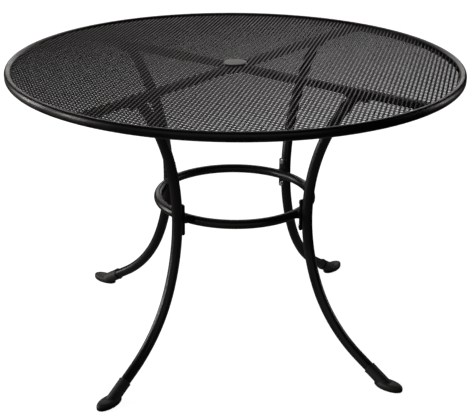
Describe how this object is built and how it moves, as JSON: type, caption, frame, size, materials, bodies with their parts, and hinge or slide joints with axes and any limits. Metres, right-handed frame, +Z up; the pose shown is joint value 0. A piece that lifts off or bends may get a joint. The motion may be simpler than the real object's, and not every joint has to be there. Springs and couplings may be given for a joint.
{
  "type": "umbrella table",
  "caption": "Round outdoor table with an expanded metal top, umbrella hole and plug, bent tube legs, brace ring and shoes.",
  "frame": {"origin": "on the floor, on the table's upright axis", "axes": "+Z up along the umbrella hole; the legs stand midway between the X and Y axes"},
  "size_m": [1.067, 1.067, 0.711],
  "materials": {
    "frame_paint": "near-black satin powder coat",
    "bush_plastic": "matt",
    "cap_plastic": "pale grey, matt",
    "foot_rubber": "moulded, matt",
    "bolt_zinc": "bright zinc plate"
  },
  "bodies": {
    "table": {"rim_tube": "frame_paint", "mesh_panel": "frame_paint", "pole_collar": "frame_paint", "pole_bush": "bush_plastic", "brace_ring": "frame_paint", "support_arm_back_right": "frame_paint", "leg_back_right": "frame_paint", "leg_top_plate_back_right": "frame_paint", "brace_plate_back_right": "frame_paint", "foot_cap_back_right": "foot_rubber", "support_arm_back_left": "frame_paint", "leg_back_left": "frame_paint", "leg_top_plate_back_left": "frame_paint", "brace_plate_back_left": "frame_paint", "foot_cap_back_left": "foot_rubber", "support_arm_front_left": "frame_paint", "leg_front_left": "frame_paint", "leg_top_plate_front_left": "frame_paint", "brace_plate_front_left": "frame_paint", "foot_cap_front_left": "foot_rubber", "support_arm_front_right": "frame_paint", "leg_front_right": "frame_paint", "leg_top_plate_front_right": "frame_paint", "brace_plate_front_right": "frame_paint", "foot_cap_front_right": "foot_rubber", "top_bolts": "bolt_zinc", "top_washers": "bolt_zinc", "top_weld_nuts": "bolt_zinc", "brace_bolts": "bolt_zinc", "brace_washers": "bolt_zinc", "brace_rivet_nuts": "bolt_zinc"},
    "cap": {"umbrella_hole_cap": "cap_plastic"}
  },
  "joints": [
    {"name": "cap_lift", "type": "slide", "parent": "table", "child": "cap", "axis": [0, 0, 1], "range_m": [0, 0.05]}
  ]
}
